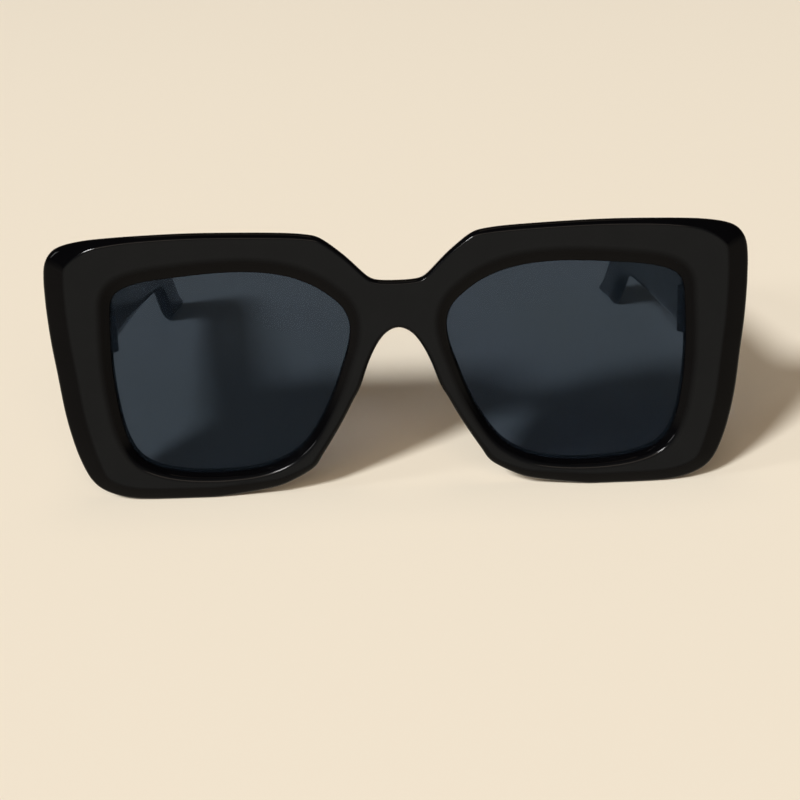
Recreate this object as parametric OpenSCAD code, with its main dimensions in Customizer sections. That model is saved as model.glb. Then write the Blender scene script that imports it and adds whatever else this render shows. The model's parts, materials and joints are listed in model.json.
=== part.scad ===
/* [Front] */
// Width of the rim beside a lens, out to the edge by the hinge
side_rim_w = 13.1; // [11:0.1:15]
// Width of the rim above a lens
brow_w = 9; // [8:0.1:13]
// Width of the rim below a lens
low_rim_w = 5.8; // [5:0.1:8]
// Thickness of the front
front_t = 5.5; // [5:0.1:7]
// Widest part of the bevel along the outer edge
edge_bevel_w = 4.6; // [2:0.1:4.8]
// Depth of that bevel
edge_bevel_d = 2.2; // [1:0.1:2.6]
// Chamfer along the edges at the back
back_chamfer = 0.8; // [0.3:0.1:0.9]
// Width of the slope along the back of the brow
brow_slope_w = 1.4; // [1:0.1:1.6]
// Depth of that slope
brow_slope_d = 3.7; // [1:0.1:3.8]

/* [Lenses] */
// Width of the visible lens
lens_w = 50.6; // [44:0.1:60]
// Height of the visible lens
lens_h = 44.4; // [40:0.2:52]
// Distance between the two lens openings
lens_gap = 20.6; // [19:0.2:25]
// Thickness of a lens
lens_t = 1.9; // [1.4:0.1:2]
// How far a lens stands in its groove
lens_grip = 1; // [0.5:0.1:1.2]
// Depth from the front face to the lens
lens_set = 2.2; // [1.8:0.1:2.3]
// Width of the bevel at the sides of a lens opening
opening_bevel_w = 2.1; // [1:0.1:2.2]

/* [Nose pads] */
// How far a pad stands out behind the front
pad_reach = 4; // [2:0.1:4.5]
// Height of a pad
pad_h = 15; // [12:0.5:17]
// Thickness of a pad across the nose
pad_t = 2.8; // [2.4:0.1:3.4]

/* [Temples] */
// Length of a temple from its hinge screw to its tip
temple_len = 144.6; // [135:0.2:155]
// Height of a temple at its root
temple_h = 18; // [16:0.5:20]
// Height of the underside of the root above the table
temple_low = 27; // [24:0.2:28]
// Thickness of a temple at its root
temple_t = 4.5; // [4:0.1:5]
// Thickness of a temple at its tip
tip_t = 3.2; // [3:0.1:4]
// How far the ear end curves in towards the head
ear_in = 3; // [0:0.5:4]
// Width of the core blade inside a temple
core_w = 2.6; // [1.5:0.1:4]
// Thickness of the core blade
core_t = 0.9; // [0.6:0.1:1.2]
// Angle at which the left temple stands, 0 being open and 92.5 folded
left_fold = 0; // [0:0.5:92.5]
// Angle at which the right temple stands, 0 being open and 84.5 folded behind the left one
right_fold = 0; // [0:0.5:84.5]

/* [Hinges] */
// Distance from the outer edge of the front to the outer face of a temple
edge_set = 4.1; // [3.5:0.1:4.5]
// Distance from the back of the front to the hinge screw
pin_back = 7.5; // [7:0.1:9]
// Distance from the hinge screw to the inner face of the temple
pin_inset = 2.4; // [2.3:0.05:2.6]
// Outer radius of a knuckle
knuckle_r = 2.1; // [1.6:0.05:2.2]
// Height of one knuckle
knuckle_h = 1.9; // [1.6:0.1:2.2]
// Radius of the hinge screw's shank
shank_r = 0.7; // [0.5:0.05:0.9]
// Thickness of the hinge leaves
leaf_t = 1.2; // [1:0.1:1.4]
// Length of the leaf on a temple
temple_leaf_l = 12.6; // [10:0.1:15]
// Length of the leaf on the front
front_leaf_l = 4.6; // [4:0.1:4.8]
// Radius of the shank of the small leaf screws
small_shank_r = 0.6; // [0.4:0.05:0.7]

/* [Clearances] */
// Running clearance round the hinge screw
screw_gap = 0.05; // [0.02:0.01:0.1]
// Gap between neighbouring knuckles
knuckle_gap = 0.12; // [0.05:0.01:0.15]
// Gap between the root of an open temple and the lug that it meets
butt_gap = 0.3; // [0.2:0.05:0.5]
// Gap between a leaf and the turning circle of the knuckles
leaf_gap = 0.3; // [0.2:0.05:0.5]
// Clearance round a lens in its groove
lens_clear = 0.05; // [0.02:0.01:0.1]
// Clearance round the core blade and the small screws
snug = 0.03; // [0.02:0.01:0.05]

/* [Hidden] */

gloss_black = [0.07, 0.07, 0.075];
lens_grey = [0.12, 0.15, 0.19, 0.75];
steel = [0.62, 0.62, 0.64];
round_fn = 48;
ball_fn = 32;
// Overrun of every cut past the face that it goes through
over = 0.4;

// Outline of the right half of the front, from the top of the bridge round to the top of the nose arch,
// each point as a share of half the width and of the height
rim_shares = [
    [0, 0.805], [0.063, 0.81], [0.087, 0.829], [0.104, 0.85], [0.148, 0.905], [0.21, 0.966],
    [0.249, 0.981], [0.321, 0.99], [0.461, 0.997], [0.602, 1], [0.744, 0.996], [0.843, 0.989],
    [0.895, 0.98], [0.939, 0.966], [0.971, 0.945], [0.992, 0.905], [0.999, 0.846], [1, 0.75],
    [0.995, 0.619], [0.985, 0.492], [0.974, 0.351], [0.959, 0.243], [0.94, 0.155], [0.912, 0.079],
    [0.868, 0.034], [0.791, 0.006], [0.67, 0], [0.563, 0], [0.508, 0.006], [0.407, 0.025],
    [0.344, 0.046], [0.262, 0.103], [0.232, 0.157], [0.195, 0.231], [0.165, 0.296], [0.135, 0.368],
    [0.115, 0.413], [0.089, 0.504], [0.062, 0.573], [0.034, 0.616], [0, 0.634]
];
// Width of the outer bevel at those points, as a share of its widest part
rim_bevel_shares = [
    0.1, 0.1, 0.1, 0.1, 0.11, 0.14, 0.17, 0.19, 0.19, 0.2, 0.24, 0.36, 0.55, 0.8, 0.97, 1, 1, 1, 1,
    1, 1, 1, 0.98, 0.9, 0.8, 0.72, 0.68, 0.66, 0.64, 0.56, 0.46, 0.32, 0.24, 0.2, 0.17, 0.16, 0.16,
    0.15, 0.14, 0.13, 0.12
];
// Slope along the back at those points, as a share of its deepest part
rim_slope_shares = [
    1, 1, 1, 1, 1, 1, 1, 1, 1, 1, 0.97, 0.85, 0.65, 0.4, 0.2, 0.08, 0, 0, 0, 0, 0, 0, 0, 0, 0, 0, 0,
    0, 0, 0, 0, 0, 0, 0, 0, 0, 0, 0, 0, 0, 0
];
// Share by which the bevel of a lens opening is wider at the top and narrower at the bottom
opening_bevel_share = 0.45;
// Share of its depth that the outer bevel keeps where it has no width
edge_depth_share = 0.2;
// Outline of the right lens opening, clockwise from the side by the nose, as shares of its width and height
lens_shares = [
    [0, 0.73], [0.026, 0.811], [0.087, 0.877], [0.152, 0.927], [0.257, 0.974], [0.393, 0.999],
    [0.559, 1], [0.762, 0.981], [0.863, 0.965], [0.941, 0.937], [0.983, 0.889], [0.994, 0.781],
    [1, 0.596], [0.992, 0.406], [0.966, 0.221], [0.919, 0.101], [0.84, 0.041], [0.712, 0.007],
    [0.546, 0], [0.387, 0.021], [0.27, 0.077], [0.187, 0.167], [0.099, 0.34], [0.035, 0.529],
    [0.007, 0.635]
];
// Upper and lower edges of a temple: share of its length, then share of the height of the top of its
// root or of the underside of its root
temple_top_shares = [
    [0, 1], [0.205, 0.913], [0.41, 0.826], [0.616, 0.738], [0.685, 0.699], [0.754, 0.638],
    [0.809, 0.538], [0.864, 0.407], [0.92, 0.249], [0.968, 0.111], [1, 0.032]
];
temple_low_shares = [
    [0, 1], [0.336, 0.796], [0.671, 0.592], [0.726, 0.55], [0.768, 0.482], [0.802, 0.372],
    [0.837, 0.208], [0.868, 0.07], [0.9, 0], [0.95, 0], [0.985, 0], [1, 0.015]
];
// Where along a temple its sections stand
section_shares = [
    0.12, 0.25, 0.42, 0.52, 0.6, 0.66, 0.7, 0.73, 0.755, 0.78, 0.802, 0.82, 0.837, 0.853, 0.868,
    0.884, 0.9, 0.92, 0.94, 0.96, 0.975, 0.985, 0.993, 1
];
// Share of the length at which the ear end starts to curve in
ear_start_share = 0.42;
// Points of the front's outline between which a nose pad stands
pad_low_point = 33;
pad_high_point = 37;
// Distance of the middle of a pad from the edge of the nose arch
pad_in = 1.7;
// Chamfers of a temple: height along the top, height along the underside, and width across
top_chamfer = 1.3;
low_chamfer = 2.2;
side_chamfer = 1.1;
curve_steps = 2;

lens_x0 = lens_gap / 2;
rim_x = lens_x0 + lens_w + side_rim_w;
rim_h = low_rim_w + lens_h + brow_w;
pin_x = rim_x - edge_set - temple_t - pin_inset;
pin_y = front_t + pin_back;
overall_d = pin_y + temple_len;
front_y = -overall_d / 2;
opening_bevel_d = lens_set - lens_clear * 4;
hinge_z = temple_low + temple_h / 2;
stack_h = 5 * knuckle_h + 4 * knuckle_gap;
stack_z = hinge_z - stack_h / 2;
turn_r = knuckle_r + leaf_gap;
leaf_x = pin_inset - leaf_t;
head_r = 1.8 * shank_r;
head_h = 1.1 * shank_r;
small_head_r = 1.8 * small_shank_r;
small_head_h = leaf_t / 2;
small_screw_l = leaf_t + temple_t / 2;
front_screw_rise = stack_h / 4;
temple_screw_step = temple_leaf_l / 4;
core_start = turn_r + temple_leaf_l + 2 * core_t;
core_end = 0.64 * temple_len;
core_rings = 12;

// Smooth curve through points: the value at t between b and c, with a and d the points beyond them
function spline_at(a, b, c, d, t) =
    0.5 * (2 * b + (c - a) * t + (2 * a - 5 * b + 4 * c - d) * t * t + (3 * b - a - 3 * c + d) * t * t * t);
function closed_curve(p) =
    let (n = len(p))
    [for (i = [0:n - 1], k = [0:curve_steps - 1])
        spline_at(p[(i + n - 1) % n], p[i], p[(i + 1) % n], p[(i + 2) % n], k / curve_steps)];

// Height of an edge given as a table of shares, at the share u of the length
function edge_at(table, u) =
    let (n = len(table), i = max([for (k = [0:n - 2]) if (table[k][0] <= u) k]),
        a = table[max(i - 1, 0)], b = table[i], c = table[i + 1], d = table[min(i + 2, n - 1)],
        w = c[0] - b[0], t = (u - b[0]) / w, m0 = (c[1] - a[1]) / (c[0] - a[0]) * w,
        m1 = (d[1] - b[1]) / (d[0] - b[0]) * w)
    (2 * t * t * t - 3 * t * t + 1) * b[1] + (t * t * t - 2 * t * t + t) * m0
    + (3 * t * t - 2 * t * t * t) * c[1] + (t * t * t - t * t) * m1;

// A half outline or table joined to its mirror image, without its two end entries twice
function both_halves(p, q) = concat(p, [for (i = [len(q) - 2:-1:1]) q[i]]);

rim_half = [for (p = rim_shares) [p[0] * rim_x, p[1] * rim_h]];
rim_line = [for (p = closed_curve(both_halves(rim_half, [for (p = rim_half) [-p[0], p[1]]])))
    [p[0], max(p[1], 0)]];
rim_bevels = closed_curve(both_halves(rim_bevel_shares, rim_bevel_shares));
rim_slopes = closed_curve(both_halves(rim_slope_shares, rim_slope_shares));
lens_line = closed_curve([for (p = lens_shares) [lens_x0 + p[0] * lens_w, low_rim_w + p[1] * lens_h]]);

// Outward normal of a clockwise closed line at its point i
function out_at(line, i) =
    let (n = len(line), d = line[(i + 1) % n] - line[(i + n - 1) % n])
    [-d[1], d[0]] / norm(d);
function moved_out(line, d) =
    [for (i = [0:len(line) - 1]) line[i] + out_at(line, i) * (is_list(d) ? d[i] : d)];
// A clockwise line stood up at the depth y, which is one depth or one for each point
function ring(line, y) = [for (i = [0:len(line) - 1]) [line[i][0], is_list(y) ? y[i] : y, line[i][1]]];

// A solid through rings of points, clockwise as seen from the front, closed by a flat face at each end
module loft(rings) {
    n = len(rings);
    m = len(rings[0]);
    sides = [for (i = [0:n - 2], j = [0:m - 1])
        let (k = (j + 1) % m, a = i * m + j, b = i * m + k, c = a + m, d = b + m)
        each [[a, c, b], [b, c, d]]];
    polyhedron([for (r = rings) each r],
        concat(sides, [[for (j = [0:m - 1]) j]], [[for (j = [m - 1:-1:0]) (n - 1) * m + j]]));
}

// Plate with the given outline between two depths
module plate(line, y0, y1) {
    translate([0, y1, 0])
        rotate([90, 0, 0])
            linear_extrude(y1 - y0)
                polygon(line);
}

module both_sides() {
    children();
    mirror([1, 0, 0])
        children();
}

// Places its children on the front, which stands with its outer face at the depth zero
module on_front() {
    translate([0, front_y, 0])
        children();
}

// Places its children about the right hinge screw, turned through an angle
module on_pin(angle) {
    translate([pin_x, front_y + pin_y, 0])
        rotate([0, 0, angle])
            children();
}

// Cut for the right lens opening: bevel, straight wall and a chamfer at the back
module opening_cutter() {
    bevels = [for (i = [0:len(lens_line) - 1])
        opening_bevel_w * (1 + opening_bevel_share * out_at(lens_line, i)[1]) * (1 + over / opening_bevel_d)];
    loft([
        ring(moved_out(lens_line, bevels), -over),
        ring(lens_line, opening_bevel_d),
        ring(lens_line, front_t - back_chamfer),
        ring(moved_out(lens_line, back_chamfer + over), front_t + over)
    ]);
}

module front_frame() {
    bevel_depths = [for (b = rim_bevels) edge_bevel_d * (edge_depth_share + (1 - edge_depth_share) * b)];
    slope_ws = [for (s = rim_slopes) back_chamfer + (brow_slope_w - back_chamfer) * s];
    slope_ys = [for (s = rim_slopes) front_t - back_chamfer - (brow_slope_d - back_chamfer) * s];
    color(gloss_black)
        on_front()
            difference() {
                union() {
                    loft([
                        ring(moved_out(rim_line, -edge_bevel_w * rim_bevels), 0),
                        ring(rim_line, bevel_depths),
                        ring(rim_line, slope_ys),
                        ring(moved_out(rim_line, -slope_ws), front_t)
                    ]);
                    both_sides()
                        translate([pin_x, pin_y, 0])
                            loft([section_at(0, front_t - pin_y - over), section_at(0, -butt_gap / 2)]);
                }
                both_sides() {
                    opening_cutter();
                    plate(moved_out(lens_line, lens_grip), lens_set, lens_set + lens_t + 2 * lens_clear);
                    on_leaf_screws(-1)
                        cylinder(r = small_shank_r + snug, h = small_screw_l + snug, $fn = round_fn);
                }
            }
}

module lens() {
    color(lens_grey)
        on_front()
            plate(moved_out(lens_line, lens_grip - lens_clear), lens_set + lens_clear,
                lens_set + lens_clear + lens_t);
}

// Pad on the back of the nose arch, on the right
module nose_pad() {
    low = rim_half[pad_low_point];
    high = rim_half[pad_high_point];
    along = (high - low) / norm(high - low);
    side = [along[1], -along[0]];
    ball_r = pad_t / 2;
    middle = (low + high) / 2 + side * pad_in;
    color(gloss_black)
        on_front()
            intersection() {
                hull()
                    for (k = [-1, 1], deep = [-ball_r, pad_reach - ball_r])
                        let (p = middle + along * k * (pad_h / 2 - ball_r - max(deep, 0) / 2))
                        translate([p[0] + max(deep, 0) / 4, front_t + deep, p[1]])
                            sphere(r = ball_r, $fn = ball_fn);
                translate([0, front_t, 0])
                    cube([rim_x, pad_reach + over, rim_h]);
            }
}

// Knuckles of one leaf and the webs that join them to it, towards the front for side -1
module knuckles(levels, side) {
    for (i = levels)
        translate([0, 0, stack_z + i * (knuckle_h + knuckle_gap)]) {
            cylinder(r = knuckle_r, h = knuckle_h, $fn = round_fn);
            translate([leaf_x, side > 0 ? 0 : -turn_r - leaf_t / 2, 0])
                cube([knuckle_r - leaf_x, turn_r + leaf_t / 2, knuckle_h]);
        }
}

module hinge_bore() {
    translate([0, 0, stack_z - over])
        cylinder(r = shank_r + screw_gap, h = stack_h + 2 * over, $fn = round_fn);
}

// Stands its children at the two small screws of a leaf, with +Z pointing outwards into the plastic and
// the face of the leaf at zero. Side -1 is the leaf on the front, measured from the front's own origin.
module on_leaf_screws(side) {
    temple_y = turn_r + temple_leaf_l / 2;
    front_leaf_y = pin_y - turn_r - front_leaf_l / 2;
    for (k = [-1, 1])
        translate(side > 0
            ? [leaf_x, temple_y + k * temple_screw_step, hinge_z]
            : [pin_x + leaf_x, front_leaf_y, hinge_z + k * front_screw_rise])
            rotate([0, 90, 0])
                children();
}

// Hole through a leaf for a small screw with a sunk head
module sunk_hole() {
    translate([0, 0, -over])
        cylinder(r = small_shank_r + snug, h = leaf_t + 2 * over, $fn = round_fn);
    translate([0, 0, -over])
        cylinder(r = small_head_r + snug, h = small_head_h + over, $fn = round_fn);
}

// Small slotted screw with its head's face at zero and its shank along +Z
module small_screw() {
    difference() {
        union() {
            cylinder(r = small_head_r, h = small_head_h, $fn = round_fn);
            cylinder(r = small_shank_r, h = small_screw_l, $fn = round_fn);
        }
        translate([-small_head_r, -small_shank_r / 4, -over])
            cube([2 * small_head_r, small_shank_r / 2, over + small_head_h / 2]);
    }
}

module front_hinge() {
    color(steel)
        on_front()
            difference() {
                union() {
                    translate([pin_x + leaf_x, pin_y - turn_r - front_leaf_l, stack_z])
                        cube([leaf_t, front_leaf_l, stack_h]);
                    translate([pin_x, pin_y, 0])
                        knuckles([0, 2, 4], -1);
                }
                translate([pin_x, pin_y, 0])
                    hinge_bore();
                on_leaf_screws(-1)
                    sunk_hole();
            }
}

module front_leaf_screws() {
    color(steel)
        on_front()
            on_leaf_screws(-1)
                small_screw();
}

// Screw through the five knuckles, with its head on the top one
module hinge_screw() {
    top = stack_z + stack_h;
    color(steel)
        on_pin(0)
            difference() {
                union() {
                    translate([0, 0, stack_z])
                        cylinder(r = shank_r, h = stack_h, $fn = round_fn);
                    translate([0, 0, top])
                        cylinder(r = head_r, h = head_h, $fn = round_fn);
                }
                translate([-head_r, -shank_r / 4, top + head_h / 2])
                    cube([2 * head_r, shank_r / 2, head_h]);
            }
}

// Heights, thickness and inward curve of a temple at the share u of its length from the hinge screw
function top_z(u) = edge_at(temple_top_shares, u) * (temple_low + temple_h);
function low_z(u) = max(edge_at(temple_low_shares, u), 0) * temple_low;
function thick(u) = temple_t + (tip_t - temple_t) * u;
function curve_in(u) = ear_in * pow(max(0, u - ear_start_share) / (1 - ear_start_share), 2);

// Section of the right temple at the share u of its length, stood at the distance y from the hinge screw
function section_at(u, y) =
    let (zt = top_z(u), zl = low_z(u), h = zt - zl, x0 = pin_inset - curve_in(u), x1 = x0 + thick(u),
        ct = min(top_chamfer, h / 4), cl = min(low_chamfer, h / 3),
        c = side_chamfer * min(1, 2 * h / temple_h))
    ring([[x0, zl + cl], [x0, zt - ct], [x0 + c, zt], [x1 - c, zt], [x1, zt - ct], [x1, zl + cl],
        [x1 - c, zl], [x0 + c, zl]], y);

// Blade along the middle of a temple, grown by a clearance
module core_blade(grow) {
    w = core_w / 2 + grow;
    t = core_t / 2 + grow;
    loft([for (k = [0:core_rings])
        let (y = core_start - grow + (core_end - core_start + 2 * grow) * k / core_rings, u = y / temple_len,
            x = pin_inset - curve_in(u) + thick(u) / 2, z = (top_z(u) + low_z(u)) / 2)
        ring([[x - t, z - w], [x - t, z + w], [x + t, z + w], [x + t, z - w]], y)]);
}

module temple(angle) {
    color(gloss_black)
        on_pin(angle)
            difference() {
                loft(concat([section_at(0, butt_gap / 2)],
                    [for (u = section_shares) section_at(u, u * temple_len)]));
                on_leaf_screws(1)
                    cylinder(r = small_shank_r + snug, h = small_screw_l + snug, $fn = round_fn);
                core_blade(snug);
            }
}

module temple_hinge(angle) {
    color(steel)
        on_pin(angle)
            difference() {
                union() {
                    translate([leaf_x, turn_r, stack_z])
                        cube([leaf_t, temple_leaf_l, stack_h]);
                    knuckles([1, 3], 1);
                }
                hinge_bore();
                on_leaf_screws(1)
                    sunk_hole();
            }
}

module temple_leaf_screws(angle) {
    color(steel)
        on_pin(angle)
            on_leaf_screws(1)
                small_screw();
}

module core_wire(angle) {
    color(steel)
        on_pin(angle)
            core_blade(0);
}

module left() {
    mirror([1, 0, 0])
        children();
}

front_frame();
left() lens();  // lens_left
lens();  // lens_right
left() nose_pad();  // nose_pad_left
nose_pad();  // nose_pad_right
left() front_hinge();  // front_hinge_left
front_hinge();  // front_hinge_right
left() front_leaf_screws();  // front_leaf_screws_left
front_leaf_screws();  // front_leaf_screws_right
left() hinge_screw();  // hinge_screw_left
hinge_screw();  // hinge_screw_right
left() temple(left_fold);  // temple_left
temple(right_fold);  // temple_right
left() temple_hinge(left_fold);  // temple_hinge_left
temple_hinge(right_fold);  // temple_hinge_right
left() temple_leaf_screws(left_fold);  // temple_leaf_screws_left
temple_leaf_screws(right_fold);  // temple_leaf_screws_right
left() core_wire(left_fold);  // core_wire_left
core_wire(right_fold);  // core_wire_right
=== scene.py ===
import json
import math

import bmesh
import bpy
import numpy as np
from mathutils import Matrix, Vector
from mathutils.geometry import tessellate_polygon


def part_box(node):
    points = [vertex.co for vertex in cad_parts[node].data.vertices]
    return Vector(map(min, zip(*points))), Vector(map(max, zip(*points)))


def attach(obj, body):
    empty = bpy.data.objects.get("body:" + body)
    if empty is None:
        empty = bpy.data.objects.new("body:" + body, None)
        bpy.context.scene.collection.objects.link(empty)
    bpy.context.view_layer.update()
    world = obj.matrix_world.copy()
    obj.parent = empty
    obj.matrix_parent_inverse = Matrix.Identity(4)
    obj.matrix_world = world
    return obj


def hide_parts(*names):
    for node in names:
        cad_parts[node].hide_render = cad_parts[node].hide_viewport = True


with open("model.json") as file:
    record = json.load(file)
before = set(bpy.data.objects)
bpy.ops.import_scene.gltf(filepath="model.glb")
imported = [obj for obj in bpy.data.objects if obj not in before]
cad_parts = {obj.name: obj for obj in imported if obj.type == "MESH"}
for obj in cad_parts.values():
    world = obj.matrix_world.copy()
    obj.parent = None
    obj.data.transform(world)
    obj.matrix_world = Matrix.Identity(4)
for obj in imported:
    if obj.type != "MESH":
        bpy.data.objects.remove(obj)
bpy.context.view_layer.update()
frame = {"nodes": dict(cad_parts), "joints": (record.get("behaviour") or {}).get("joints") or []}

# Sizes are in millimetres until a mesh is made, and metres from there on
MM = 0.001
# The way along X that each side of the sunglasses lies
SIDES = {"left": -1, "right": 1}


def box_mm(node):
    """Lowest and highest corners of a node, in millimetres."""
    low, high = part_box(node)
    return np.array(low) / MM, np.array(high) / MM


# Sizes read from the frame
front_low, front_high = box_mm("front_frame")
lens_low, lens_high = box_mm("lens_right")
leaf_high = box_mm("temple_hinge_right")[1]
arm_high = box_mm("temple_right")[1]
fold = next(joint for joint in frame["joints"] if joint["name"] == "temple_right_fold")
pin_x, pin_y = np.array(fold["pos_m"][:2]) / MM
front_y = front_low[1]
rim_x = front_high[0]
rim_h = front_high[2]

# Thickness of the front, and its outer bevel, whose least depth is a share of its most
front_t = 5.5
edge_bevel_w = 4.6
edge_bevel_d = 2.2
edge_depth_share = 0.2
# Slope along the back of the brow, and rounding of the other back edges
brow_slope_w = 1.4
brow_slope_d = 3.7
back_round = 0.8
# Bevel of a lens opening, wider at the top and narrower at the bottom by the share
opening_bevel_w = 2.1
opening_bevel_d = 1.8
opening_bevel_share = 0.45
# How far a lens stands in its groove, and the space around it there
lens_grip = 1.0
lens_clear = 0.05
# Space between a lug of the front and its temple, how far in their ends' edges are rounded, and the
# hollow curve round the foot of the lug
butt_gap = 0.3
butt_inset = 0.35
butt_round = 0.3
lug_fillet = 0.5

# How far from each edge of the front its rounding starts, from the flat face to the back
edge_roll = 0.4
bevel_start = 0.38
bevel_end = 0.9
slope_start = 0.6
slope_end = 0.1
opening_roll = 0.9
opening_bevel_end = 0.33
# Narrow flat ring beside a rounded edge, which keeps the shading of the flat face flat
flat_margin = 0.12
# Spans over a rounded edge of the front's outline and of an opening
EDGE_STEPS = 5
OPENING_STEPS = 7
# Points round the front and round an opening, and widths of the bell curves that smooth the lines
# and the directions square to them
RIM_POINTS = 840
rim_blur = 0.7
rim_normal_blur = 1.3
OPENING_POINTS = 480
opening_blur = 0.9

grip = lens_grip - lens_clear
opening_x = lens_low[0] + grip
opening_w = lens_high[0] - lens_low[0] - 2 * grip
opening_z = lens_low[2] + grip
opening_h = lens_high[2] - lens_low[2] - 2 * grip
groove_y = lens_low[1] - front_y - lens_clear
groove_back_y = lens_high[1] - front_y + lens_clear

# Underside, height and thickness of a temple at its root, and its thickness at the tip
temple_low = 27.0
temple_h = 18.0
temple_t = 4.5
tip_t = 3.2
temple_len = arm_high[1] - pin_y
pin_inset = leaf_high[0] - pin_x
# How far the ear end bends inwards, and where the bend starts
ear_in = 3.0
ear_start_share = 0.42
# Cut corners of its section, the most that each is rounded, and the spans of the rounding
top_chamfer = 1.3
low_chamfer = 2.2
side_chamfer = 1.1
section_round = 0.9
SECTION_STEPS = 4

# Right half of the front from the top of the bridge to the top of the nose arch: share of half the
# width, share of the height, width of the outer bevel and depth of the slope at the back, both as
# shares of their most
RIM_SHARES = [
    (0, 0.805, 0.1, 1), (0.063, 0.81, 0.1, 1), (0.087, 0.829, 0.1, 1), (0.104, 0.85, 0.1, 1),
    (0.148, 0.905, 0.11, 1), (0.21, 0.966, 0.14, 1), (0.249, 0.981, 0.17, 1),
    (0.321, 0.99, 0.19, 1), (0.461, 0.997, 0.19, 1), (0.602, 1, 0.2, 1), (0.744, 0.996, 0.24, 0.97),
    (0.843, 0.989, 0.36, 0.85), (0.895, 0.98, 0.55, 0.65), (0.939, 0.966, 0.8, 0.4),
    (0.971, 0.945, 0.97, 0.2), (0.992, 0.905, 1, 0.08), (0.999, 0.846, 1, 0), (1, 0.75, 1, 0),
    (0.995, 0.619, 1, 0), (0.985, 0.492, 1, 0), (0.974, 0.351, 1, 0), (0.959, 0.243, 1, 0),
    (0.94, 0.155, 0.98, 0), (0.912, 0.079, 0.9, 0), (0.868, 0.034, 0.8, 0), (0.791, 0.006, 0.72, 0),
    (0.67, 0, 0.68, 0), (0.563, 0, 0.66, 0), (0.508, 0.006, 0.64, 0), (0.407, 0.025, 0.56, 0),
    (0.344, 0.046, 0.46, 0), (0.262, 0.103, 0.32, 0), (0.232, 0.157, 0.24, 0),
    (0.195, 0.231, 0.2, 0), (0.165, 0.296, 0.17, 0), (0.135, 0.368, 0.16, 0),
    (0.115, 0.413, 0.16, 0), (0.089, 0.504, 0.15, 0), (0.062, 0.573, 0.14, 0),
    (0.034, 0.616, 0.13, 0), (0, 0.634, 0.12, 0),
]
# Right lens opening, clockwise from the side by the nose, as shares of its width and height
OPENING_SHARES = [
    (0, 0.73), (0.026, 0.811), (0.087, 0.877), (0.152, 0.927), (0.257, 0.974), (0.393, 0.999),
    (0.559, 1), (0.762, 0.981), (0.863, 0.965), (0.941, 0.937), (0.983, 0.889), (0.994, 0.781),
    (1, 0.596), (0.992, 0.406), (0.966, 0.221), (0.919, 0.101), (0.84, 0.041), (0.712, 0.007),
    (0.546, 0), (0.387, 0.021), (0.27, 0.077), (0.187, 0.167), (0.099, 0.34), (0.035, 0.529),
    (0.007, 0.635),
]
# Edges of a temple: share of its length, then share of the height of its root's top or underside
TEMPLE_TOP_SHARES = [
    (0, 1), (0.205, 0.913), (0.41, 0.826), (0.616, 0.738), (0.685, 0.699), (0.754, 0.638),
    (0.809, 0.538), (0.864, 0.407), (0.92, 0.249), (0.968, 0.111), (1, 0.032),
]
TEMPLE_LOW_SHARES = [
    (0, 1), (0.336, 0.796), (0.671, 0.592), (0.726, 0.55), (0.768, 0.482), (0.802, 0.372),
    (0.837, 0.208), (0.868, 0.07), (0.9, 0), (0.95, 0), (0.985, 0), (1, 0.015),
]


def smoothed(rows, spacing, blur):
    """Rows of numbers round a closed line, averaged with a bell curve blur millimetres wide.

    The rows are spacing millimetres apart. A wave of the length L in them is weakened by
    exp(-2 (pi blur / L)^2).
    """
    waves = np.fft.rfftfreq(len(rows), spacing)
    kept = np.exp(-2 * (math.pi * waves * blur) ** 2)
    return np.fft.irfft(np.fft.rfft(rows, axis=0) * kept[:, None], len(rows), axis=0)


def closed_curve(points, count, blur):
    """Closed curve through rows of numbers, the first two of which are its place.

    Each span is the cubic that leaves and enters its ends along the chord of their neighbours. The
    curve is then cut into equal lengths and smoothed, which takes the small waves out of it.
    """
    span_points = 24
    p = np.asarray(points, float)
    a, b, c, d = (np.roll(p, k, axis=0)[:, None] for k in (1, 0, -1, -2))
    t = np.linspace(0, 1, span_points, endpoint=False)[None, :, None]
    spans = 0.5 * (2 * b + (c - a) * t + (2 * a - 5 * b + 4 * c - d) * t**2
                   + (3 * b - a - 3 * c + d) * t**3)
    line = spans.reshape(-1, p.shape[1])
    line = np.vstack([line, line[:1]])
    steps = np.linalg.norm(np.diff(line[:, :2], axis=0), axis=1)
    along = np.concatenate([[0], np.cumsum(steps)])
    places = np.linspace(0, along[-1], count, endpoint=False)
    even = np.column_stack([np.interp(places, along, column) for column in line.T])
    return smoothed(even, along[-1] / count, blur)


def outward(line, blur):
    """Outward normals of a clockwise closed line, from the chord between each point's neighbours.

    They are smoothed, so that a line carried inwards past a tight corner stays round.
    """
    chord = np.roll(line, -1, axis=0) - np.roll(line, 1, axis=0)
    length = np.linalg.norm(chord, axis=1, keepdims=True)
    normal = np.column_stack([-chord[:, 1], chord[:, 0]]) / length
    return smoothed(normal, length.mean() / 2, blur)


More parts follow.
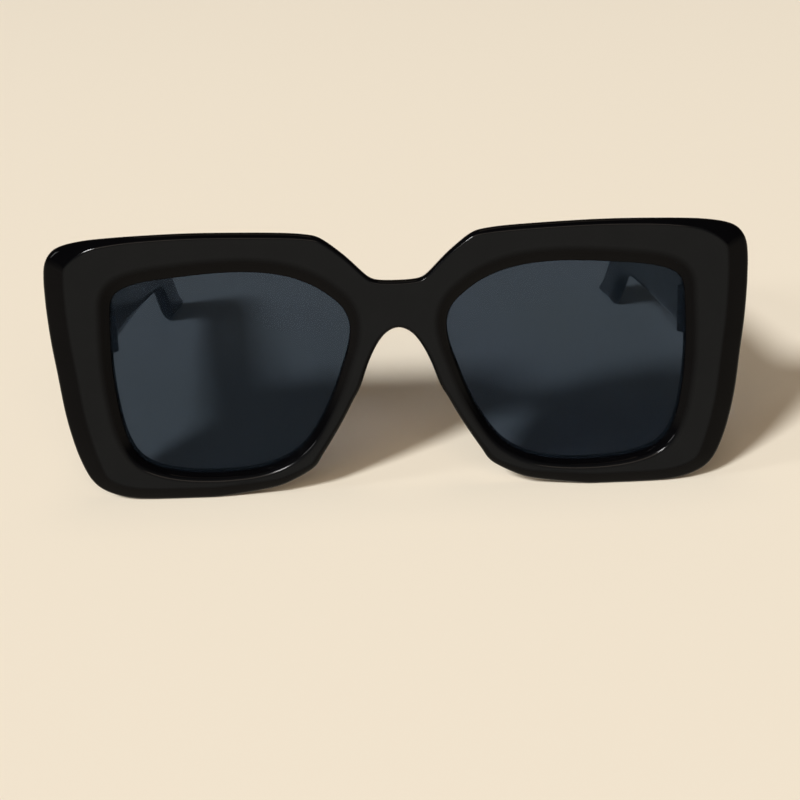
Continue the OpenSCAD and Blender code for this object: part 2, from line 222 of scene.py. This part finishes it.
def rounded_path(corners, trims, steps=5):
    """A path through corners with each corner rounded off.

    corners is a list of (outwards, deep), each a number or one number per point of the line that
    the path is carried along. A corner whose trim is t is replaced by the quadratic curve that
    starts t before it and ends t after it, in steps spans. t is at most 0.48 of a side that ends at
    another rounded corner, and 0.96 of one that ends at a sharp corner, so that curves never meet.
    """
    size = max(np.size(value) for corner in corners for value in corner)
    path = np.array([[np.broadcast_to(value, size) for value in corner] for corner in corners])
    path = path.transpose(0, 2, 1)
    rows = []
    for k, trim in enumerate(trims):
        here = path[k]
        if trim == 0:
            rows.append(here[None])
            continue
        before = path[k - 1] - here
        after = path[k + 1] - here
        length_before = np.linalg.norm(before, axis=1, keepdims=True)
        length_after = np.linalg.norm(after, axis=1, keepdims=True)
        room_before = length_before * (0.48 if trims[k - 1] else 0.96)
        room_after = length_after * (0.48 if trims[k + 1] else 0.96)
        cut = np.minimum(trim, np.minimum(room_before, room_after))
        start = here + before / length_before * cut
        end = here + after / length_after * cut
        s = np.linspace(0, 1, steps + 1)[:, None, None]
        rows.append((1 - s) ** 2 * start + 2 * s * (1 - s) * here + s**2 * end)
    return np.concatenate(rows)


def carried(line, path, y, blur=0.0):
    """Rings of points: the line moved outwards, and backwards from y, by each row of the path."""
    out = outward(line, blur)
    place = line[None] + out[None] * path[..., :1]
    deep = np.broadcast_to(y + path[..., 1], place.shape[:2])
    return np.stack([place[..., 0], deep, place[..., 1]], axis=-1)


def ring_grid(rings):
    """Points and four-sided faces of a grid whose rows are closed rings."""
    rows, columns = rings.shape[:2]
    i, j = np.meshgrid(np.arange(rows - 1), np.arange(columns), indexing="ij")
    k = (j + 1) % columns
    here, above = i * columns, (i + 1) * columns
    faces = np.stack([here + j, here + k, above + k, above + j], axis=-1)
    return rings.reshape(-1, 3), faces.reshape(-1, 4).tolist()


def satin_and_painted_sheen_shares(rings, steps):
    """Share of satin and painted reflection on rings that start on the flat face.

    It is 1 there, falls evenly to 0 over the steps of the first rounded edge, and stays 0.
    """
    share = np.zeros(rings.shape[:2])
    share[0] = 1
    share[1:steps + 2] = np.linspace(1, 0, steps + 1)[:, None]
    return share.ravel()


def flat_fill(loops):
    """Points and triangles of a flat face that stands across Y.

    The first loop bounds it, and the others are holes.
    """
    upright = [loop[:, (0, 2, 1)] * (1, 1, 0) for loop in loops]
    faces = tessellate_polygon([loop.tolist() for loop in upright])
    return np.concatenate(loops), [list(face) for face in faces]


def piece(name, parts, body, material, satin_and_painted_sheen=None):
    """One closed mesh from several sets of points and faces, joined where their points meet.

    The last argument holds one number per point, from 0 where the surface is polished to 1 where it
    is satin and lightened by a painted reflection.
    """
    points = []
    faces = []
    for part_points, part_faces in parts:
        start = sum(len(p) for p in points)
        points.append(part_points * MM)
        faces += [[start + k for k in face] for face in part_faces]
    mesh = bpy.data.meshes.new(name)
    mesh.from_pydata(np.concatenate(points), [], faces)
    if satin_and_painted_sheen is not None:
        share = mesh.attributes.new("satin_and_painted_sheen", "FLOAT", "POINT")
        share.data.foreach_set("value", np.asarray(satin_and_painted_sheen, np.float32))
    work = bmesh.new()
    work.from_mesh(mesh)
    bmesh.ops.remove_doubles(work, verts=work.verts, dist=0.0005 * MM)
    bmesh.ops.recalc_face_normals(work, faces=work.faces)
    work.to_mesh(mesh)
    work.free()
    mesh.shade_smooth()
    mesh.materials.append(material)
    made = bpy.data.objects.new(name, mesh)
    bpy.context.scene.collection.objects.link(made)
    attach(made, body)
    return made


def flipped(parts, side):
    """The parts of a right-hand piece, or their mirror images for the left side."""
    return [(points * (side, 1, 1), faces) for points, faces in parts]


def edge_at(table, u):
    """Height of an edge at the share u of the length.

    Each span is the cubic whose slope at an entry is that of the chord between its neighbours.
    """
    table = np.asarray(table, float)
    last = len(table) - 1
    i = np.clip(np.searchsorted(table[:, 0], u, side="right") - 1, 0, last - 1)
    a, b, c, d = (table[np.clip(i + k, 0, last)] for k in (-1, 0, 1, 2))
    w = c[:, 0] - b[:, 0]
    t = (u - b[:, 0]) / w
    slope_b = (c[:, 1] - a[:, 1]) / (c[:, 0] - a[:, 0]) * w
    slope_c = (d[:, 1] - b[:, 1]) / (d[:, 0] - b[:, 0]) * w
    return ((2 * t**3 - 3 * t**2 + 1) * b[:, 1] + (t**3 - 2 * t**2 + t) * slope_b
            + (3 * t**2 - 2 * t**3) * c[:, 1] + (t**3 - t**2) * slope_c)


def temple_sections(u):
    """Outlines of a temple's sections at the shares u of its length.

    They are (x, z), x from the hinge screw and z from the table. A section is an eight-sided
    outline, a rectangle with its corners cut, and the cuts shrink with its height. Each corner of
    the eight is rounded by a quadratic curve that takes at most 0.4 of the shorter side beside it.
    """
    u = np.asarray(u, float)
    top = edge_at(TEMPLE_TOP_SHARES, u) * (temple_low + temple_h)
    low = np.maximum(edge_at(TEMPLE_LOW_SHARES, u), 0) * temple_low
    tall = top - low
    bent = np.maximum(0, u - ear_start_share) / (1 - ear_start_share)
    inner = pin_inset - ear_in * bent ** 2
    outer = inner + temple_t + (tip_t - temple_t) * u
    cut_top = np.minimum(top_chamfer, tall / 4)
    cut_low = np.minimum(low_chamfer, tall / 3)
    cut_side = side_chamfer * np.minimum(1, 2 * tall / temple_h)
    x = np.stack([inner, inner, inner + cut_side, outer - cut_side, outer, outer,
                  outer - cut_side, inner + cut_side], axis=1)
    z = np.stack([low + cut_low, top - cut_top, top, top, top - cut_top, low + cut_low, low, low],
                 axis=1)
    corner = np.stack([x, z], axis=-1)
    before = np.roll(corner, 1, axis=1) - corner
    after = np.roll(corner, -1, axis=1) - corner
    length_before = np.linalg.norm(before, axis=-1, keepdims=True)
    length_after = np.linalg.norm(after, axis=-1, keepdims=True)
    cut = np.minimum(section_round, 0.4 * np.minimum(length_before, length_after))
    start = (corner + before / length_before * cut)[:, :, None]
    end = (corner + after / length_after * cut)[:, :, None]
    s = np.linspace(0, 1, SECTION_STEPS + 1)[:, None]
    curve = (1 - s) ** 2 * start + 2 * s * (1 - s) * corner[:, :, None] + s**2 * end
    return curve.reshape(len(u), -1, 2)


def linear(code):
    """The linear colour of an sRGB hex value, with full alpha."""
    values = np.array([int(code[k:k + 2], 16) for k in (1, 3, 5)]) / 255
    values = np.where(values <= 0.04045, values / 12.92, ((values + 0.055) / 1.055) ** 2.4)
    return (*values, 1)


def add_node(tree, kind, settings=(), links=()):
    """Adds a node, sets its values and properties by name, and links other nodes' outputs to it."""
    node = tree.nodes.new(kind)
    for name, value in dict(settings).items():
        if name in node.inputs:
            node.inputs[name].default_value = value
        else:
            setattr(node, name, value)
    for name, output in dict(links).items():
        tree.links.new(output, node.inputs[name])
    return node


def new_material(name):
    """A new node material, its nodes, and its Principled shader, which is linked to the output."""
    material = bpy.data.materials.new(name)
    material.use_nodes = True
    tree = material.node_tree
    return material, tree, tree.nodes["Principled BSDF"]


def black_acetate():
    """Black cellulose acetate, cut from sheet and polished.

    The bevels and sides are a deep black mirror, and the flat face is buffed to a softer satin
    whose lighter charcoal colour is a painted reflection.
    """
    material, tree, shader = new_material("polished_black_acetate")
    place = add_node(tree, "ShaderNodeTexCoord").outputs["Object"]
    # Mask of the flat face: 1 where the acetate is satin and carries the painted reflection, 0
    # where it is polished
    satin_and_painted_sheen = add_node(tree, "ShaderNodeAttribute", {"attribute_name": "satin_and_painted_sheen"}).outputs["Fac"]
    # Colour clouds of about 8 mm, as in pressed acetate sheet, too faint to read as a pattern
    cloud = add_node(tree, "ShaderNodeTexNoise", {"Scale": 125, "Detail": 3, "Roughness": 0.5},
                     {"Vector": place})
    deep = add_node(tree, "ShaderNodeMix",
                    {"data_type": "RGBA", "A": linear("#020203"), "B": linear("#050506")},
                    {"Factor": cloud.outputs["Fac"]})
    # Lighter charcoal of the flat face: a painted reflection, not a colour of the acetate itself
    painted_sheen = add_node(tree, "ShaderNodeMix",
                    {"data_type": "RGBA", "A": linear("#0F1011"), "B": linear("#121314")},
                    {"Factor": cloud.outputs["Fac"]})
    # The painted reflection on the flat face, and the deep black everywhere else
    tint = add_node(tree, "ShaderNodeMix", {"data_type": "RGBA"},
                    {"Factor": satin_and_painted_sheen, "A": deep.outputs["Result"], "B": painted_sheen.outputs["Result"]})
    # Polishing haze of about 3 mm
    haze = add_node(tree, "ShaderNodeTexNoise", {"Scale": 330, "Detail": 4, "Roughness": 0.6},
                    {"Vector": place})
    polish = add_node(tree, "ShaderNodeMapRange", {"To Min": 0.03, "To Max": 0.07},
                      {"Value": haze.outputs["Fac"]})
    # The buffing adds this much roughness where the surface is all satin
    buffed = 0.16
    rough = add_node(tree, "ShaderNodeMath", {"operation": "MULTIPLY_ADD"}, {"Value": satin_and_painted_sheen})
    rough.inputs[1].default_value = buffed
    tree.links.new(polish.outputs["Result"], rough.inputs[2])
    tree.links.new(tint.outputs["Result"], shader.inputs["Base Color"])
    tree.links.new(rough.outputs["Value"], shader.inputs["Roughness"])
    # Acetate's own is about 1.5. The real front leans back and mirrors a dark room, but this one
    # stands upright and mirrors the pale table, so its mirroring is weakened to keep it black
    shader.inputs["IOR"].default_value = 1.15
    return material


def tinted_lens():
    """Dark grey-blue polycarbonate, moulded and hard-coated: see-through, with a glossy surface."""
    material, tree, shader = new_material("tinted_polycarbonate")
    place = add_node(tree, "ShaderNodeTexCoord").outputs["Object"]
    # Faint clouds of the dyed tint, about 30 mm long
    cloud = add_node(tree, "ShaderNodeTexNoise", {"Scale": 33, "Detail": 1}, {"Vector": place})
    tint = add_node(tree, "ShaderNodeMix",
                    {"data_type": "RGBA", "A": linear("#3B4652"), "B": linear("#3E495B")},
                    {"Factor": cloud.outputs["Fac"]})
    tree.links.new(tint.outputs["Result"], shader.inputs["Base Color"])
    shader.inputs["Transmission Weight"].default_value = 0.975
    shader.inputs["Roughness"].default_value = 0.0
    # Polycarbonate's own is about 1.59, weakened for the same reason as the acetate's
    shader.inputs["IOR"].default_value = 1.2
    # The blue that the hard coat leaves in a reflection
    shader.inputs["Specular Tint"].default_value = linear("#9CC8FF")
    return material


def plated_hinge():
    """Stamped hinge in black nickel plate, barrelled to a satin: dark grey, softly streaked."""
    material, tree, shader = new_material("black_nickel_plate")
    place = add_node(tree, "ShaderNodeTexCoord").outputs["Object"]
    # Streaks 0.2 mm wide along the leaf, drawn twice as coarse as the real ones so that they show
    stretch = add_node(tree, "ShaderNodeMapping", {"Scale": (2500, 300, 5000)}, {"Vector": place})
    streak = add_node(tree, "ShaderNodeTexNoise", {"Scale": 1, "Detail": 3},
                      {"Vector": stretch.outputs["Vector"]})
    gloss = add_node(tree, "ShaderNodeMapRange", {"To Min": 0.2, "To Max": 0.38},
                     {"Value": streak.outputs["Fac"]})
    tree.links.new(gloss.outputs["Result"], shader.inputs["Roughness"])
    shader.inputs["Base Color"].default_value = linear("#4A4948")
    shader.inputs["Metallic"].default_value = 1
    return material


def turned_steel():
    """Small turned screws in black nickel plate: a little brighter than the hinge, with a grain."""
    material, tree, shader = new_material("black_plated_screw")
    place = add_node(tree, "ShaderNodeTexCoord").outputs["Object"]
    # Specks of about 0.3 mm
    grain = add_node(tree, "ShaderNodeTexNoise", {"Scale": 3300, "Detail": 2}, {"Vector": place})
    gloss = add_node(tree, "ShaderNodeMapRange", {"To Min": 0.16, "To Max": 0.3},
                     {"Value": grain.outputs["Fac"]})
    tree.links.new(gloss.outputs["Result"], shader.inputs["Roughness"])
    shader.inputs["Base Color"].default_value = linear("#6A6A6C")
    shader.inputs["Metallic"].default_value = 1
    return material


acetate = black_acetate()
lens_tint = tinted_lens()
black_nickel = plated_hinge()
screw_steel = turned_steel()


def front_frame_piece():
    """The front: its outer edge, openings and lugs are carried along their outlines.

    Flat faces fill the space between them at the front, at the back and on the lugs' ends.
    """
    half = np.array(RIM_SHARES) * (rim_x, rim_h, 1, 1)
    other = half[-2:0:-1] * (-1, 1, 1, 1)
    rim = closed_curve(np.vstack([half, other]), RIM_POINTS, rim_blur)
    outline, bevel_share, slope_share = rim[:, :2], rim[:, 2], np.clip(rim[:, 3], 0, 1)
    outline[:, 1] = np.clip(outline[:, 1], 0, rim_h)
    outline[:, 0] = np.clip(outline[:, 0], -rim_x, rim_x)
    bevel = edge_bevel_w * bevel_share
    deep = edge_bevel_d * (edge_depth_share + (1 - edge_depth_share) * bevel_share)
    slope_w = back_round + (brow_slope_w - back_round) * slope_share
    slope_y = front_t - back_round - (brow_slope_d - back_round) * slope_share
    edge = rounded_path(
        [(-bevel - edge_roll, 0), (-bevel, 0), (0, deep), (0, slope_y), (-slope_w, front_t),
         (-slope_w - flat_margin, front_t)],
        [0, bevel_start, bevel_end, slope_start, slope_end, 0], EDGE_STEPS)
    outer = carried(outline, edge, front_y, rim_normal_blur)
    parts = [ring_grid(outer)]
    # The flat front face is satin and lightened by a painted reflection, which fades out over the
    # rounded edges round it
    satin_and_painted_sheen = [satin_and_painted_sheen_shares(outer, EDGE_STEPS)]
    front_loops = [outer[0]]
    back_loops = [outer[-1]]

    place = np.array(OPENING_SHARES) * (opening_w, opening_h) + (opening_x, opening_z)
    opening = closed_curve(place, OPENING_POINTS, opening_blur)
    upwards = outward(opening, opening_blur)[:, 1]
    rolled = opening_bevel_w * (1 + opening_bevel_share * upwards)
    wall = rounded_path(
        [(rolled + opening_roll, 0), (rolled, 0), (0, opening_bevel_d), (0, groove_y),
         (lens_grip, groove_y), (lens_grip, groove_back_y), (0, groove_back_y), (0, front_t),
         (back_round + flat_margin, front_t)],
        [0, opening_roll, opening_bevel_end, 0, 0, 0, 0, back_round, 0], OPENING_STEPS)
    inner = carried(opening, wall, front_y, opening_blur)

    root = temple_sections([0])[0] + (pin_x, 0)
    lug_y = pin_y - front_y - butt_gap / 2
    lug_path = rounded_path(
        [(lug_fillet, front_t), (0, front_t), (0, lug_y), (-butt_inset, lug_y),
         (-butt_inset - flat_margin, lug_y)],
        [0, lug_fillet, butt_round, 0, 0])
    lug = carried(root, lug_path, front_y)
    lug_points = (len(lug) + 1) * len(root)
    for side in SIDES.values():
        parts += flipped([ring_grid(inner), ring_grid(lug), flat_fill([lug[-1]])], side)
        satin_and_painted_sheen += [satin_and_painted_sheen_shares(inner, OPENING_STEPS), np.zeros(lug_points)]
        front_loops.append(inner[0] * (side, 1, 1))
        back_loops += [inner[-1] * (side, 1, 1), lug[0] * (side, 1, 1)]
    parts += [flat_fill(front_loops), flat_fill(back_loops)]
    satin_and_painted_sheen += [np.ones(sum(len(loop) for loop in front_loops)),
              np.zeros(sum(len(loop) for loop in back_loops))]
    made = piece("front_shell", parts, "front", acetate, np.concatenate(satin_and_painted_sheen))
    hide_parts("front_frame")


def temple_piece(name, side):
    """A temple: its section carried from the root to the tip, with a rounded edge at the root."""
    # Rows from just behind the root's edge along the straight part, and closer ones where it bends
    straight = np.linspace(0.004, 0.6, 40)
    bent = np.linspace(0.61, 1, 90)
    u = np.concatenate([straight, bent])
    sections = temple_sections(u) + (pin_x, 0)
    body_rings = np.insert(sections, 1, (pin_y + u * temple_len)[:, None], axis=2)
    root = temple_sections([0])[0] + (pin_x, 0)
    # The last place of the path is clear of the curve and short of the first row behind it
    root_path = rounded_path(
        [(-butt_inset - flat_margin, 0), (-butt_inset, 0), (0, 0), (0, 0.4)],
        [0, 0, butt_round, 0])
    root_rings = carried(root, root_path, pin_y + butt_gap / 2)
    rings = np.concatenate([root_rings, body_rings])
    parts = [ring_grid(rings), flat_fill([rings[0]]), flat_fill([rings[-1]])]
    body = name + "_temple"
    made = piece("temple_arm_" + name, flipped(parts, side), body, acetate)
    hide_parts("temple_" + name)


def softened(node, name, body, material, width):
    """A copy of a node with its sharp edges rounded to the given width, which stands for the node.

    Triangles within a degree of each other are first joined into flat faces, and an edge is sharp
    where its faces turn by more than 35 degrees.
    """
    mesh = frame["nodes"][node].data.copy()
    mesh.name = name
    work = bmesh.new()
    work.from_mesh(mesh)
    bmesh.ops.remove_doubles(work, verts=work.verts, dist=0.001 * MM)
    bmesh.ops.dissolve_limit(work, angle_limit=math.radians(1), verts=work.verts, edges=work.edges)
    work.to_mesh(mesh)
    work.free()
    mesh.materials.clear()
    mesh.materials.append(material)
    mesh.shade_smooth()
    made = bpy.data.objects.new(name, mesh)
    bpy.context.scene.collection.objects.link(made)
    round_edges = made.modifiers.new("rounded_edges", "BEVEL")
    round_edges.width = width * MM
    round_edges.segments = 2
    round_edges.limit_method = "ANGLE"
    round_edges.angle_limit = math.radians(35)
    round_edges.harden_normals = True
    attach(made, body)
    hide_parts(node)


def dress(node, material):
    """Gives a node of the frame its material."""
    for slot in frame["nodes"][node].material_slots:
        slot.material = material


# Metal pieces of one side: node, name of its finer mesh, whether it rides on the temple, slot,
# material, and width of its rounded edges
METAL_PIECES = [
    ("front_hinge_", "front_leaf_and_barrels_", False, "hinge_metal", black_nickel, 0.12),
    ("temple_hinge_", "temple_leaf_and_barrels_", True, "hinge_metal", black_nickel, 0.12),
    ("hinge_screw_", "slotted_hinge_screw_", False, "screw_steel", screw_steel, 0.08),
    ("front_leaf_screws_", "front_slotted_screws_", False, "screw_steel", screw_steel, 0.06),
    ("temple_leaf_screws_", "temple_slotted_screws_", True, "screw_steel", screw_steel, 0.06),
]

front_frame_piece()
for name, side in SIDES.items():
    temple_piece(name, side)
    for node, finer, on_temple, slot, material, width in METAL_PIECES:
        body = name + "_temple" if on_temple else "front"
        softened(node + name, finer + name, body, material, width)
    dress("lens_" + name, lens_tint)
    dress("nose_pad_" + name, acetate)
    dress("core_wire_" + name, screw_steel)


def studio():
    """A cream table, a room pale at the horizon and dark overhead, a sun and three soft panels."""
    reach = 2.8
    corners = np.array([(-1, -1, 0), (1, -1, 0), (1, 1, 0), (-1, 1, 0)]) * reach
    mesh = bpy.data.meshes.new("floor")
    mesh.from_pydata(corners, [], [(0, 1, 2, 3)])
    floor = bpy.data.objects.new("floor", mesh)
    bpy.context.scene.collection.objects.link(floor)
    # Chalky, so that it doesn't flash white towards the sun
    material, tree, shader = new_material("cream_table")
    shader.inputs["Base Color"].default_value = linear("#F2EAD9")
    shader.inputs["Roughness"].default_value = 1
    shader.inputs["Specular IOR Level"].default_value = 0
    mesh.materials.append(material)

    world = bpy.data.worlds.new("studio")
    world.use_nodes = True
    bpy.context.scene.world = world
    tree = world.node_tree
    tree.nodes.clear()
    place = add_node(tree, "ShaderNodeTexCoord")
    split = add_node(tree, "ShaderNodeSeparateXYZ", {}, {"Vector": place.outputs["Object"]})
    # Height of the direction looked along, which is 0 at the horizon and 1 overhead
    height = add_node(tree, "ShaderNodeMapRange", {"From Min": 0.03, "From Max": 0.2},
                      {"Value": split.outputs["Z"]})
    tone = add_node(tree, "ShaderNodeMix",
                    {"data_type": "RGBA", "A": linear("#E4D9C5"), "B": linear("#453D35")},
                    {"Factor": height.outputs["Result"]})
    light = add_node(tree, "ShaderNodeBackground", {"Strength": 1.0},
                     {"Color": tone.outputs["Result"]})
    add_node(tree, "ShaderNodeOutputWorld", {}, {"Surface": light.outputs["Background"]})

    # Kind, direction that it stands in, distance in metres, width and height in metres or the sun's
    # angle in radians, watts or the sun's strength, and colour. The sun casts the shadow beside the
    # front, the strip draws the lines of light on the lower edges, and the others light the corners
    # and the brow. The strip and the top panel are warm, so that the shadow is
    lamps = {
        "key_sun": ("SUN", (-0.42, -0.74, 0.53), 1.0, (0.16, 0), 3.75, "#FFFFFF"),
        "front_strip": ("AREA", (-0.08, -0.88, 0.47), 6.0, (4.5, 1.7), 125.0, "#FFE9D2"),
        "left_softbox": ("AREA", (-0.83, -0.42, 0.42), 5.2, (0.8, 1.4), 40.0, "#FFFFFF"),
        "top_softbox": ("AREA", (0, 0.12, 1.0), 4.0, (1.6, 1.6), 12.0, "#FFE9D2"),
    }
    for name, (kind, direction, distance, size, power, colour) in lamps.items():
        data = bpy.data.lights.new(name, kind)
        data.energy = power
        data.color = linear(colour)[:3]
        if kind == "SUN":
            data.angle = size[0]
        else:
            data.shape = "RECTANGLE"
            data.size, data.size_y = size
        lamp = bpy.data.objects.new(name, data)
        towards = Vector(direction).normalized()
        lamp.location = towards * distance
        lamp.rotation_euler = (-towards).to_track_quat("-Z", "Y").to_euler()
        bpy.context.scene.collection.objects.link(lamp)


def photo_camera():
    """The camera of the photograph, fitted to the outlines of the front and of the lens openings.

    It looks at the target from the distance, azimuth and elevation, and its right and upward
    directions are turned round its line of sight by the roll.
    """
    azimuth, elevation, roll = (math.radians(v) for v in (-0.61, 19.0, -1.9))
    distance = 0.384
    image_w = 800
    focal_px = 1800
    target = Vector((-0.00018, front_y * MM, 0.02155))
    level = math.cos(elevation)
    ahead = Vector((-math.sin(azimuth) * level, math.cos(azimuth) * level, -math.sin(elevation)))
    right = ahead.cross(Vector((0, 0, 1))).normalized()
    up = right.cross(ahead)
    across = right * math.cos(roll) + up * math.sin(roll)
    rise = up * math.cos(roll) - right * math.sin(roll)
    data = bpy.data.cameras.new("photo_camera")
    data.sensor_width = 36
    data.lens = data.sensor_width * focal_px / image_w
    data.clip_start = 0.01
    camera = bpy.data.objects.new("photo_camera", data)
    turn = Matrix((across, rise, -ahead)).transposed().to_4x4()
    camera.matrix_world = Matrix.Translation(target - ahead * distance) @ turn
    bpy.context.scene.collection.objects.link(camera)
    bpy.context.scene.camera = camera


studio()
photo_camera()
bpy.context.scene.view_settings.view_transform = "Standard"
